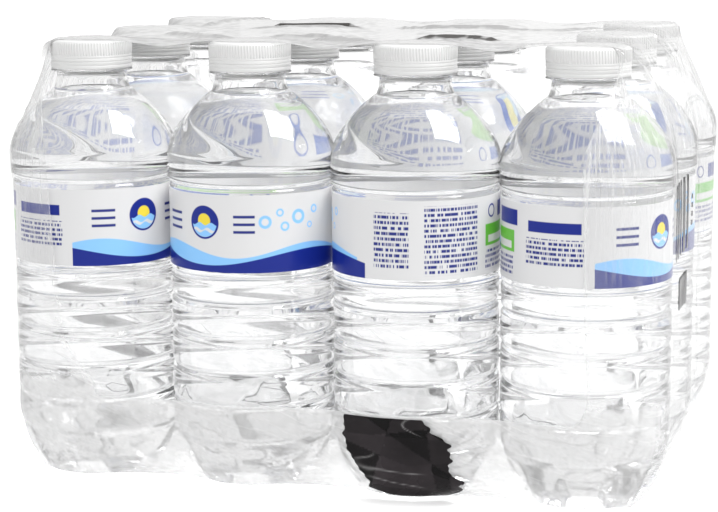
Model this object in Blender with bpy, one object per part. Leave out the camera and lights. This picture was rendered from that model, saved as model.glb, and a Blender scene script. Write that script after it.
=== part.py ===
import math
import random

import bmesh
import bpy

# Driving sizes, in metres. The pack is four bottles wide and three deep, front at -Y
COLUMNS = 4
ROWS = 3
PITCH = 0.068
SIDES = 12
GAP = 0.0003
FILM_THICKNESS = 0.0003
REST_HEIGHT = FILM_THICKNESS + GAP

# Bottle: radii and heights above its own foot
DOME_RADIUS = 0.0338
PANEL_RADIUS = 0.0330
RIB_RADIUS = 0.0333
GROOVE_RADIUS = 0.0323
FOOT_RADIUS = 0.0230
FOOT_INNER_RADIUS = 0.0185
NECK_RADIUS = 0.0146
MOUTH_RADIUS = 0.0128
BORE_RADIUS = 0.0110
PUSH_UP = 0.0050
FIRST_GROOVE = 0.0198
GROOVE_SPACING = 0.0138
GROOVES = 5
PANEL_BOTTOM = 0.0810
PANEL_TOP = 0.1195
DOME_BOTTOM = 0.1240
DOME_START = 0.1310
HEEL_RADIUS = 0.0268
HEEL_HEIGHT = 0.0050
BASE_RADIUS = 0.0311
BASE_HEIGHT = 0.0125
FIRST_GROOVE_RADIUS = 0.0319
NECK_BOTTOM = 0.1590
MOUTH_HEIGHT = 0.1742
BASE_WALL = 0.0012
SIDE_WALL = 0.0006
WATER_LINE = 0.1560

# Dome between its full radius and the neck: the radius lost by then, and the height above DOME_START
DOME_STEPS = [(0.0022, 0.0080), (0.0061, 0.0140), (0.0102, 0.0190), (0.0186, 0.0259)]

# Inside of the bottle's wall, from the neck down to the floor
BORE_BOTTOM = 0.1580
INNER_NECK_RADIUS = 0.0225
INNER_NECK = 0.1490
INNER_SHOULDER = 0.1300
INNER_HEEL = 0.0230
INNER_FLOOR_RADIUS = 0.0215

# Cap and label
CAP_RADIUS = 0.0167
CAP_BOTTOM = 0.1647
CAP_TOP = 0.1762
CAP_WALL = 0.0015
CAP_ROOF = 0.0014
CAP_CHAMFER = 0.0010
LABEL_BOTTOM = 0.0882
LABEL_TOP = 0.1188
LABEL_THICKNESS = 0.00015

# Film sleeve, its inner face: open at the front and back, closed at the left and right ends
FILM_REACH = 0.0340
FILM_DIP = 0.0040
FILM_SAG = 0.0035
FILM_LOW = 0.0045
FILM_CORNER = 0.0140
FILM_FULL = 0.0260
FILM_SHOULDER = 0.1385
FOOT_REACH = 0.0245
LOW_REACH = 0.0282
CORNER_REACH = 0.0330
VALLEY_LIFT = 0.0026
VALLEY_BACK = 0.0100
CAP_CLEAR = 0.0175
FLAP_HEIGHT = 0.0360
RIM_ON_CAPS = 0.0100

# Front rim of the film, seen from the front: across and up on each side, then the ends of the flap's edge
LEFT_RIM = [(-0.0910, 0.0440), (-0.0970, 0.0500), (-0.1030, 0.0580), (-0.1050, 0.0800), (-0.1090, FILM_SHOULDER)]
RIGHT_RIM = [(0.1090, 0.0450), (0.1085, 0.0520), (0.1080, 0.0600), (0.1070, 0.0850), (0.1060, FILM_SHOULDER)]
FLAP_ENDS = (-0.0900, -0.0820, 0.1055)

# Film round the front corner bottles: directions in degrees, seen from above, and heights
FRONT_TURN = 255
FRONT_LOW_TURN = 240
CORNER_TURN = 225
FOOT_TURN = 205
SIDE_TURN = 195
LOW_EASE = 1.07
FOOT_EASE = 1.075
RISING_HEIGHTS = [0.0180, 0.0290, 0.0390, 0.0520, FILM_SHOULDER]
CORNER_HEIGHT = 0.0340

# How far each of the first loops stands behind the front caps' middle where it crosses them
TOP_DEPTHS = [-RIM_ON_CAPS, -0.0060, 0.0, 0.0090, CAP_CLEAR]

# Printed patch on the front flap: heights, and its left and right edges at each height
PATCH_SEED = 4
PATCH_COLUMNS = 5
PATCH_OFFSET = 0.0007
PATCH_THICKNESS = 0.0003
PATCH_CRUMPLE = 0.0006
PATCH_EDGES = [
    (0.0022, 0.0300, 0.0520),
    (0.0045, 0.0217, 0.0577),
    (0.0090, 0.0212, 0.0600),
    (0.0140, 0.0180, 0.0548),
    (0.0200, 0.0145, 0.0555),
    (0.0250, 0.0134, 0.0558),
    (0.0300, 0.0132, 0.0492),
    (0.0352, 0.0131, 0.0445),
]

# Edges sharper than this stay sharp in the shading
SHARP_ANGLE = math.radians(40)

# Each polygon that stands for a circle has the circle's area
POLYGON_SCALE = math.sqrt(2 * math.pi / (SIDES * math.sin(2 * math.pi / SIDES)))
FLAT = math.pi / SIDES
HALF_FLAT = FILM_REACH * math.tan(FLAT)
LEFT_AXIS = -PITCH * (COLUMNS - 1) / 2
FRONT_AXIS = -PITCH * (ROWS - 1) / 2
FRONT_FACE = FRONT_AXIS - FILM_REACH
LEFT_FACE = LEFT_AXIS - FILM_REACH

# The patch stands proud of the front only, so everything moves back by half of that
PROUD = PATCH_OFFSET + PATCH_THICKNESS + PATCH_CRUMPLE
DEPTH_SHIFT = PROUD / 2


def clear_scene():
    for thing in list(bpy.data.objects):
        bpy.data.objects.remove(thing, do_unlink=True)


def make_material(name, colour, roughness, transmission=0.0, ior=1.45):
    material = bpy.data.materials.new(name)
    material.use_nodes = True
    shader = material.node_tree.nodes["Principled BSDF"]
    shader.inputs["Base Color"].default_value = (*colour, 1.0)
    shader.inputs["Roughness"].default_value = roughness
    shader.inputs["Transmission Weight"].default_value = transmission
    shader.inputs["IOR"].default_value = ior
    shader.inputs["Metallic"].default_value = 0.0
    return material


def place(name, mesh, material, location=(0.0, 0.0, 0.0)):
    thing = bpy.data.objects.new(name, mesh)
    if not mesh.materials:
        mesh.materials.append(material)
    thing.location = location
    bpy.context.scene.collection.objects.link(thing)
    return thing


def turned_mesh(name, profile, closed=False):
    """Turns (radius, height) points about Z. An open profile starts and ends on the axis."""
    builder = bmesh.new()
    rings = []
    for radius, height in profile:
        if radius == 0:
            rings.append([builder.verts.new((0.0, 0.0, height))])
            continue
        ring = []
        for side in range(SIDES):
            angle = (2 * side + 1) * FLAT
            reach = radius * POLYGON_SCALE
            ring.append(builder.verts.new((reach * math.cos(angle), reach * math.sin(angle), height)))
        rings.append(ring)
    pairs = list(zip(rings, rings[1:]))
    if closed:
        pairs.append((rings[-1], rings[0]))
    for lower, upper in pairs:
        for side in range(SIDES):
            following = (side + 1) % SIDES
            if len(lower) == 1:
                builder.faces.new((lower[0], upper[side], upper[following]))
            elif len(upper) == 1:
                builder.faces.new((lower[side], lower[following], upper[0]))
            else:
                builder.faces.new((lower[side], lower[following], upper[following], upper[side]))
    return finish_mesh(name, builder)


def finish_mesh(name, builder):
    bmesh.ops.recalc_face_normals(builder, faces=builder.faces)
    bmesh.ops.triangulate(builder, faces=builder.faces)
    mesh = bpy.data.meshes.new(name)
    builder.to_mesh(mesh)
    builder.free()
    mesh.shade_smooth()
    mesh.set_sharp_from_angle(angle=SHARP_ANGLE)
    return mesh


def bottle_profile():
    """Foot, grooved body, label panel, dome and neck outside, then the bore down to the floor inside."""
    points = [(0.0, PUSH_UP), (FOOT_INNER_RADIUS, 0.0), (FOOT_RADIUS, 0.0)]
    points += [(HEEL_RADIUS, HEEL_HEIGHT), (BASE_RADIUS, BASE_HEIGHT)]
    for groove in range(GROOVES):
        height = FIRST_GROOVE + groove * GROOVE_SPACING
        points.append((GROOVE_RADIUS if groove else FIRST_GROOVE_RADIUS, height))
        if groove < GROOVES - 1:
            points.append((RIB_RADIUS, height + GROOVE_SPACING / 2))
    points += [(PANEL_RADIUS, PANEL_BOTTOM), (PANEL_RADIUS, PANEL_TOP)]
    points += [(DOME_RADIUS, DOME_BOTTOM), (DOME_RADIUS, DOME_START)]
    points += [(DOME_RADIUS - lost, DOME_START + rise) for lost, rise in DOME_STEPS]
    points += [(NECK_RADIUS, NECK_BOTTOM), (MOUTH_RADIUS, MOUTH_HEIGHT)]
    points += [(BORE_RADIUS, MOUTH_HEIGHT)] + bore_points(0.0)
    points.append((0.0, PUSH_UP + BASE_WALL))
    return points


def bore_points(shrink):
    """The inside of the wall from the neck down to the floor, or what fills it when shrunk by a gap."""
    bore = GROOVE_RADIUS - SIDE_WALL
    return [
        (BORE_RADIUS - shrink, BORE_BOTTOM),
        (INNER_NECK_RADIUS - shrink, INNER_NECK - shrink),
        (bore - shrink, INNER_SHOULDER - shrink),
        (bore - shrink, INNER_HEEL),
        (INNER_FLOOR_RADIUS - shrink, BASE_WALL + shrink),
    ]


def water_profile():
    """Drink up to the water line, a gap away from the bottle's wall and floor."""
    neck, shoulder, upper, lower, floor = bore_points(GAP)
    share = (WATER_LINE - shoulder[1]) / (neck[1] - shoulder[1])
    surface = shoulder[0] + (neck[0] - shoulder[0]) * share - GAP
    return [
        (0.0, PUSH_UP + BASE_WALL + 2 * GAP),
        (floor[0], floor[1] + GAP),
        lower,
        upper,
        shoulder,
        (surface, WATER_LINE),
        (0.0, WATER_LINE),
    ]


def cap_profile():
    bore = CAP_RADIUS - CAP_WALL
    roof = CAP_TOP - CAP_ROOF
    return [
        (0.0, roof),
        (bore, roof),
        (bore, CAP_BOTTOM),
        (CAP_RADIUS, CAP_BOTTOM),
        (CAP_RADIUS, CAP_TOP - CAP_CHAMFER),
        (CAP_RADIUS - CAP_CHAMFER, CAP_TOP),
        (0.0, CAP_TOP),
    ]


def label_profile():
    inner = PANEL_RADIUS + GAP
    outer = inner + LABEL_THICKNESS
    return [(inner, LABEL_BOTTOM), (outer, LABEL_BOTTOM), (outer, LABEL_TOP), (inner, LABEL_TOP)]


def make_bottles():
    clear_pet = make_material("clear_pet", (0.96, 0.97, 0.97), 0.03, 1.0, 1.57)
    spring_water = make_material("spring_water", (0.97, 0.98, 0.99), 0.0, 1.0, 1.33)
    cap_plastic = make_material("cap_plastic", (0.86, 0.87, 0.87), 0.35)
    label_print = make_material("label_print", (0.86, 0.88, 0.92), 0.30)
    pieces = [
        ("bottle", turned_mesh("bottle", bottle_profile()), clear_pet),
        ("water", turned_mesh("water", water_profile()), spring_water),
        ("cap", turned_mesh("cap", cap_profile()), cap_plastic),
        ("label", turned_mesh("label", label_profile(), closed=True), label_print),
    ]
    for row in range(ROWS):
        for column in range(COLUMNS):
            number = row * COLUMNS + column + 1
            x = LEFT_AXIS + column * PITCH
            y = FRONT_AXIS + row * PITCH + DEPTH_SHIFT
            for name, mesh, material in pieces:
                place(f"{name}_{number:02d}", mesh, material, (x, y, REST_HEIGHT))


def valley_share(x):
    """How far x is towards a valley between two bottles: 0 before a bottle's flat, 1 midway."""
    from_axis = abs((x - LEFT_AXIS + PITCH / 2) % PITCH - PITCH / 2)
    if x < LEFT_AXIS or x > -LEFT_AXIS or from_axis <= HALF_FLAT:
        return 0.0
    return (from_axis - HALF_FLAT) / (PITCH / 2 - HALF_FLAT)


def front_depth(x, reach=FILM_REACH):
    """Where the taut film stands at x before bottles of that reach: flat there, dipping between two."""
    return FRONT_AXIS - reach + FILM_DIP * valley_share(x)


def scalloped(half_width):
    """Positions along X: both edges of each bottle's flat or cap, and each valley between two bottles."""
    positions = []
    for column in range(COLUMNS):
        axis = LEFT_AXIS + column * PITCH
        positions += [axis - half_width, axis + half_width]
        if column < COLUMNS - 1:
            positions.append(axis + PITCH / 2)
    return positions


def around_axis(degrees, reach):
    """A point of the film round the front left bottle, by its angle and its distance from the axis."""
    angle = math.radians(degrees)
    return LEFT_AXIS + reach * math.cos(angle), FRONT_AXIS + reach * math.sin(angle)


def side_points(station):
    """Left side of one loop from its lowest to its highest point, at station 0, the rim, to 4."""
    full = FILM_REACH / math.cos(FLAT)
    corner = CORNER_REACH / math.cos(FLAT)
    floor = FILM_THICKNESS
    if station == 0:
        return [(x, FRONT_FACE, z) for x, z in LEFT_RIM]
    if station == 1:
        return [(*around_axis(FRONT_TURN, full), z) for z in RISING_HEIGHTS]
    if station == 2:
        return [
            (*around_axis(FRONT_LOW_TURN, LOW_REACH * LOW_EASE), FILM_LOW),
            (*around_axis(CORNER_TURN, corner), FILM_CORNER),
            (*around_axis(CORNER_TURN, full), FILM_FULL),
            (*around_axis(CORNER_TURN, full), CORNER_HEIGHT),
            (*around_axis(CORNER_TURN, full), FILM_SHOULDER),
        ]
    if station == 3:
        return [
            (*around_axis(FOOT_TURN, FOOT_REACH * FOOT_EASE), floor),
            (*around_axis(FOOT_TURN, LOW_REACH * LOW_EASE), FILM_LOW),
            (*around_axis(SIDE_TURN, corner), FILM_CORNER),
            (*around_axis(SIDE_TURN, full), FILM_FULL),
            (*around_axis(SIDE_TURN, full), FILM_SHOULDER),
        ]
    y = FRONT_AXIS + HALF_FLAT
    return [
        (LEFT_AXIS - FOOT_REACH, y, floor),
        (LEFT_AXIS - LOW_REACH, y, FILM_LOW),
        (LEFT_AXIS - CORNER_REACH, y, FILM_CORNER),
        (LEFT_FACE, y, FILM_FULL),
        (LEFT_FACE, y, FILM_SHOULDER),
    ]


def straight_side(y, dip):
    """Left side of a loop further back, pulled in by dip between two bottles."""
    points = side_points(4)
    return [(x + dip, y, z) for x, _, z in points]


def bottom_points(station, y):
    """Underside of one loop from left to right. Stations 0 to 2 are on the front flap."""
    positions = scalloped(HALF_FLAT)
    if station == 0:
        positions[0], positions[1], positions[-1] = FLAP_ENDS
        return [(x, front_depth(x), FLAP_HEIGHT) for x in positions]
    if station == 1:
        return [(x, front_depth(x, CORNER_REACH), FILM_CORNER) for x in positions]
    if station == 2:
        return [(x, front_depth(x, LOW_REACH), FILM_LOW + VALLEY_LIFT * valley_share(x)) for x in positions]
    back = VALLEY_BACK if station == 3 else 0.0
    return [(x, y + back * valley_share(x), FILM_THICKNESS) for x in positions]


def top_points(y, sag):
    """Top of one loop from left to right: over the caps, sagging between them."""
    roof = REST_HEIGHT + CAP_TOP + GAP
    points = []
    for x in scalloped(CAP_CLEAR):
        from_valley = x % PITCH
        between = min(from_valley, PITCH - from_valley) < GAP
        points.append((x, y, roof - (max(sag, FILM_SAG) if between else sag)))
    return points


def mirrored(points):
    return [(-x, y, z) for x, y, z in points]


def film_loop(side, bottom, top, right=None):
    """One closed loop of the sleeve, seen from the front: left side up, top, right side down, bottom."""
    right = right or mirrored(side)
    return side + top + right[::-1] + bottom[::-1]


def film_loops():
    """Loops from the front rim to the middle, then their mirror images to the back rim."""
    foot_line = FRONT_AXIS - FOOT_REACH
    loops = []
    for station, depth in enumerate(TOP_DEPTHS):
        right = [(x, front_depth(x), z) for x, z in RIGHT_RIM] if station == 0 else None
        underside = FRONT_AXIS + HALF_FLAT if depth == CAP_CLEAR else foot_line
        bottom = bottom_points(station, underside)
        loops.append(film_loop(side_points(station), bottom, top_points(FRONT_AXIS + depth, 0.0), right))
    last = len(TOP_DEPTHS)
    valley = FRONT_AXIS + PITCH / 2
    valley_side = straight_side(valley, FILM_DIP)
    loops.append(film_loop(valley_side, bottom_points(last, valley), top_points(valley, FILM_SAG)))
    row_edge = -HALF_FLAT
    row_side = straight_side(row_edge, 0.0)
    loops.append(film_loop(row_side, bottom_points(last, row_edge), top_points(-CAP_CLEAR, 0.0)))
    back = [[(x, -y, z) for x, y, z in loop] for loop in reversed(loops)]
    return loops + back


def make_film():
    builder = bmesh.new()
    loops = []
    for loop in film_loops():
        loops.append([builder.verts.new((x, y + DEPTH_SHIFT, z)) for x, y, z in loop])
    for front, back in zip(loops, loops[1:]):
        for index in range(len(front)):
            following = (index + 1) % len(front)
            builder.faces.new((front[index], front[following], back[following], back[index]))
    bmesh.ops.triangulate(builder, faces=builder.faces)
    builder.normal_update()
    left_wall = min(builder.faces, key=lambda face: face.calc_center_median().x)
    if left_wall.normal.x > 0:
        bmesh.ops.reverse_faces(builder, faces=builder.faces)
    mesh = bpy.data.meshes.new("film_sleeve")
    builder.to_mesh(mesh)
    builder.free()
    film = place("film_sleeve", mesh, make_material("clear_film", (0.97, 0.97, 0.97), 0.12, 1.0, 1.5))
    thicken(film, FILM_THICKNESS)


def thicken(thing, thickness):
    wall = thing.modifiers.new("thickness", "SOLIDIFY")
    wall.thickness = thickness
    wall.offset = 1.0
    wall.use_even_offset = False


def flap_depth(x, z):
    """Outer face of the front flap at a height: rolling out from under the bottles, then upright."""
    share = valley_share(x)
    section = [
        (FILM_THICKNESS, FOOT_REACH + (FILM_DIP - VALLEY_BACK) * share),
        (FILM_LOW + VALLEY_LIFT * share, LOW_REACH),
        (FILM_CORNER, CORNER_REACH),
        (FLAP_HEIGHT, FILM_REACH),
    ]
    for (lower, inner), (upper, outer) in zip(section, section[1:]):
        if z <= upper:
            reach = inner + (outer - inner) * (z - lower) / (upper - lower)
            break
    return front_depth(x, reach) - FILM_THICKNESS


def make_patch():
    """The dark print, crumpled where the film shrank, as a thin sheet of its own before the flap."""
    draw = random.Random(PATCH_SEED)
    builder = bmesh.new()
    rows = []
    for z, left, right in PATCH_EDGES:
        row = []
        for column in range(PATCH_COLUMNS + 1):
            x = left + (right - left) * column / PATCH_COLUMNS
            crumple = draw.uniform(0.0, PATCH_CRUMPLE)
            y = flap_depth(x, z) - PATCH_OFFSET - crumple + DEPTH_SHIFT
            row.append(builder.verts.new((x, y, z)))
        rows.append(row)
    for lower, upper in zip(rows, rows[1:]):
        for column in range(PATCH_COLUMNS):
            builder.faces.new((lower[column], lower[column + 1], upper[column + 1], upper[column]))
    bmesh.ops.triangulate(builder, faces=builder.faces)
    mesh = bpy.data.meshes.new("film_patch")
    builder.to_mesh(mesh)
    builder.free()
    patch = place("film_patch", mesh, make_material("dark_print", (0.012, 0.010, 0.011), 0.22))
    thicken(patch, PATCH_THICKNESS)


clear_scene()
make_bottles()
make_film()
make_patch()
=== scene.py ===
import math
import random

import bmesh
import bpy
import numpy as np
from mathutils import Matrix, Vector, noise


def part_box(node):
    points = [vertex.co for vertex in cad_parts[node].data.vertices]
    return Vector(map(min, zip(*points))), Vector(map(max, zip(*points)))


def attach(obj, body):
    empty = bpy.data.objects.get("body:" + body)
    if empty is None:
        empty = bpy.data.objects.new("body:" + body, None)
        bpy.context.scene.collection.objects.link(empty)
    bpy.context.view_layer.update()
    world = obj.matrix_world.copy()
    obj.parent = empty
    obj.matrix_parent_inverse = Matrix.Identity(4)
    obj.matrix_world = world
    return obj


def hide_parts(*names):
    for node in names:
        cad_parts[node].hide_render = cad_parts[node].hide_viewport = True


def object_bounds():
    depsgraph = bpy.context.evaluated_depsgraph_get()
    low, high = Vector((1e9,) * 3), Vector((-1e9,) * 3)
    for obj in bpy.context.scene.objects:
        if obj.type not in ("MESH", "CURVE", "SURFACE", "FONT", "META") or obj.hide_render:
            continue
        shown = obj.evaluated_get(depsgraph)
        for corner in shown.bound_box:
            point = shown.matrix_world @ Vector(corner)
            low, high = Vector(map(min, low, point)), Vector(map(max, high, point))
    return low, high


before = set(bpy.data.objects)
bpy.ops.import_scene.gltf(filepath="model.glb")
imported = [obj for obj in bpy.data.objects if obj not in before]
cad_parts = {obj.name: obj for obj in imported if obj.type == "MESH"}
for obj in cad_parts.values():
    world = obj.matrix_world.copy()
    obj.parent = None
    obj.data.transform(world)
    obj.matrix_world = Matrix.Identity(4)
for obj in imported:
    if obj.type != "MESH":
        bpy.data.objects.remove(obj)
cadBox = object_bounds()

# Sizes in the dictionaries are millimetres and angles are degrees, where no note says otherwise
mm = 0.001

pack = {
    "columns": 4,
    "rows": 3,
    "body": "root",
    "footLevel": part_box("bottle_01")[0].z,  # metres, as is the next
    "capLevel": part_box("cap_01")[1].z,
}


def bottleSpot(number):  # the bottle's axis at its foot, in metres
    low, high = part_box(f"cap_{number}")
    return Vector(((low.x + high.x) / 2, (low.y + high.y) / 2, pack["footLevel"]))


def smoothStep(value):
    value = min(max(value, 0.0), 1.0)
    return value * value * (3 - 2 * value)


def grey(level):
    return (level, level, level, 1)


# Node helpers, for materials and for geometry

def feed(tree, socket, value):
    if isinstance(value, bpy.types.NodeSocket):
        tree.links.new(value, socket)
    else:
        socket.default_value = value


def addNode(tree, kind, inputs={}, **settings):
    node = tree.nodes.new(kind)
    for name, value in settings.items():
        setattr(node, name, value)
    for socket, value in inputs.items():
        feed(tree, node.inputs[socket], value)
    return node


def calc(tree, operation, *values):
    return addNode(tree, "ShaderNodeMath", dict(enumerate(values)), operation=operation).outputs[0]


def times(tree, first, *others):
    for other in others:
        first = calc(tree, "MULTIPLY", first, other)
    return first


def rampTo(tree, value, start, end, low=0.0, high=1.0):  # smooth, from low to high
    given = dict(enumerate((value, start, end, low, high)))
    return addNode(tree, "ShaderNodeMapRange", given, interpolation_type="SMOOTHSTEP").outputs[0]


def vectorOf(tree, x, y, z=0.0):
    return addNode(tree, "ShaderNodeCombineXYZ", {"X": x, "Y": y, "Z": z}).outputs[0]


def partsOf(tree, vector):
    return addNode(tree, "ShaderNodeSeparateXYZ", {0: vector}).outputs


def ownPlace(tree):  # where on the piece, in metres
    return addNode(tree, "ShaderNodeTexCoord").outputs["Object"]


def attributeOf(tree, name, output="Fac"):
    return addNode(tree, "ShaderNodeAttribute", attribute_name=name).outputs[output]


def blendColour(tree, share, first, second):
    return addNode(tree, "ShaderNodeMix", {"Factor": share, 6: first, 7: second}, data_type="RGBA").outputs[2]


def blendShader(tree, share, first, second):
    return addNode(tree, "ShaderNodeMixShader", {0: share, 1: first, 2: second}).outputs[0]


def noiseOf(tree, where, scale, detail):
    given = {"Vector": where, "Scale": scale, "Detail": detail}
    return addNode(tree, "ShaderNodeTexNoise", given).outputs["Fac"]


def bumpFrom(tree, height, strength, distance):  # the distance is in metres
    given = {"Height": height, "Strength": strength, "Distance": distance}
    return addNode(tree, "ShaderNodeBump", given).outputs[0]


def newMaterial(name, finish={}):
    material = bpy.data.materials.new(name)
    material.use_nodes = True
    tree = material.node_tree
    shader = tree.nodes["Principled BSDF"]
    for socket, value in finish.items():
        feed(tree, shader.inputs[socket], value)
    return material, tree, shader


def coverWith(tree, shader):
    feed(tree, tree.nodes["Material Output"].inputs["Surface"], shader)


def passLight(tree, shader, tint):  # lets lamp and room light through, as the eye alone is bent or stopped
    passing = addNode(tree, "ShaderNodeBsdfTransparent", {"Color": tint}).outputs[0]
    ray = addNode(tree, "ShaderNodeLightPath").outputs["Is Shadow Ray"]
    coverWith(tree, blendShader(tree, ray, shader, passing))


def place(name, data):
    thing = bpy.data.objects.new(name, data)
    bpy.context.scene.collection.objects.link(thing)
    return thing


def settle(name, mesh, slot, *nodes, thickness=0.0, outward=1.0, lining=0):
    # a finished piece, riding on the pack and standing for its CAD nodes
    thing = place(name, mesh)
    if thickness:
        wall = thing.modifiers.new("thickness", "SOLIDIFY")
        wall.thickness = thickness * mm
        wall.offset = outward
        wall.material_offset = lining
    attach(thing, pack["body"])
    if nodes:
        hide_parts(*nodes)
    return thing


# Camera, at the photograph's viewing angle

shot = {
    "place": (0.2373, -0.8647, 0.2366),  # metres
    "yaw": 0.277,  # radians, as are pitch and roll
    "pitch": 0.173,
    "roll": 0.007,
    "focal": 2110.7,  # in pixels of the width below
    "width": 718,
    "sensor": 36.0,
}


def makeCamera():
    yaw, pitch, roll = shot["yaw"], shot["pitch"], shot["roll"]
    ahead = Vector((-math.sin(yaw) * math.cos(pitch), math.cos(yaw) * math.cos(pitch), -math.sin(pitch)))
    right = ahead.cross(Vector((0, 0, 1))).normalized()
    down = ahead.cross(right)
    across = right * math.cos(roll) + down * math.sin(roll)
    under = down * math.cos(roll) - right * math.sin(roll)
    lens = bpy.data.cameras.new("camera")
    lens.sensor_width = shot["sensor"]
    lens.lens = shot["focal"] / shot["width"] * shot["sensor"]
    camera = place("camera", lens)
    turn = Matrix((across, -under, -ahead)).transposed().to_4x4()
    camera.matrix_world = Matrix.Translation(shot["place"]) @ turn
    bpy.context.scene.camera = camera


# Light: a white room, greyer on the side towards the viewer, and one soft lamp

light = {
    "front": (0.45, -0.86, 0.25),  # direction of the grey side
    "frontGrey": 0.86,
    "frontEdge": (0.30, 0.95),  # where the grey begins and is full, as the cosine from that direction
    "room": 1.12,
    "lampFrom": (0.49, -0.03, 0.87),
    "lampDistance": 1.3,  # metres, as is the size
    "lampSize": 0.62,
    "lampTurn": 45,
    "lampPower": 15.0,
    "bounces": 40,  # a line of sight through three bottles crosses more than eighteen walls
}


def makeLight():
    world = bpy.data.worlds.new("room")
    bpy.context.scene.world = world
    world.use_nodes = True
    tree = world.node_tree
    where = addNode(tree, "ShaderNodeTexCoord").outputs["Generated"]
    both = {0: where, 1: Vector(light["front"]).normalized()}
    facing = addNode(tree, "ShaderNodeVectorMath", both, operation="DOT_PRODUCT").outputs["Value"]
    level = rampTo(tree, facing, *light["frontEdge"], 1.0, light["frontGrey"])
    paint = addNode(tree, "ShaderNodeCombineColor", {"Red": level, "Green": level, "Blue": level})
    feed(tree, tree.nodes["Background"].inputs["Color"], paint.outputs[0])
    feed(tree, tree.nodes["Background"].inputs["Strength"], light["room"])

    lamp = bpy.data.lights.new("softLamp", "AREA")
    lamp.shape = "SQUARE"
    lamp.size = light["lampSize"]
    lamp.energy = light["lampPower"]
    away = Vector(light["lampFrom"]).normalized()
    aim = away.to_track_quat("Z", "Y").to_matrix().to_4x4()
    spin = Matrix.Rotation(math.radians(light["lampTurn"]), 4, "Z")
    place("softLamp", lamp).matrix_world = Matrix.Translation(away * light["lampDistance"]) @ aim @ spin


floor = {
    "radius": 12000,
    "sides": 96,
    "white": 0.66,
    "speckle": 0.012,
    "grain": (90.0, 2.0),  # scale and detail, as in each noise below
    "finish": {
        "Roughness": 0.85,
        "Specular IOR Level": 0.2,
        "Emission Color": grey(1),
        "Emission Strength": 0.43,  # a lit sweep, so that the shade under the pack stays pale
    },
}


def makeFloor():
    builder = bmesh.new()
    bmesh.ops.create_circle(
        builder, cap_ends=True, segments=floor["sides"], radius=floor["radius"] * mm
    )
    mesh = bpy.data.meshes.new("floor")
    builder.to_mesh(mesh)
    builder.free()
    material, tree, shader = newMaterial("paleFloor", floor["finish"])
    grain = noiseOf(tree, ownPlace(tree), *floor["grain"])
    tones = grey(floor["white"] - floor["speckle"]), grey(floor["white"])
    feed(tree, shader.inputs["Base Color"], blendColour(tree, grain, *tones))
    material.cycles.emission_sampling = "NONE"
    mesh.materials.append(material)
    place("floor", mesh)


def makeStage():
    makeCamera()
    makeLight()
    makeFloor()
    scene = bpy.context.scene
    scene.view_settings.view_transform = "Standard"
    scene.view_settings.look = "None"
    scene.view_settings.exposure = 0.0
    for kind in ("max", "glossy", "transmission", "transparent_max"):
        setattr(scene.cycles, f"{kind}_bounces", light["bounces"])
    print("stage: camera, light and floor are in place")


# Geometry Nodes: a form turned from a profile, with a foot lifted into arches between its feet

def newTree(name, **sockets):
    tree = bpy.data.node_groups.new(name, "GeometryNodeTree")
    tree.is_modifier = True
    for title, kind in {"Geometry": "Geometry", **sockets}.items():
        tree.interface.new_socket(title, in_out="INPUT", socket_type=f"NodeSocket{kind}")
    tree.interface.new_socket("Geometry", in_out="OUTPUT", socket_type="NodeSocketGeometry")
    return tree, tree.nodes.new("NodeGroupInput").outputs, tree.nodes.new("NodeGroupOutput")


def chain(tree, geometry, *nodes):  # runs the geometry through each node in turn
    for node in nodes:
        slot = next(socket for socket in node.inputs if socket.type == "GEOMETRY")
        tree.links.new(geometry, slot)
        geometry = next(socket for socket in node.outputs if socket.type == "GEOMETRY")
    return geometry


def finishTree(tree, given, result, geometry):
    last = addNode(tree, "GeometryNodeSetMaterial", {"Material": given["Finish"]})
    realize = addNode(tree, "GeometryNodeRealizeInstances")
    tree.links.new(chain(tree, geometry, realize, last), result.inputs["Geometry"])
    return tree


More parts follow.
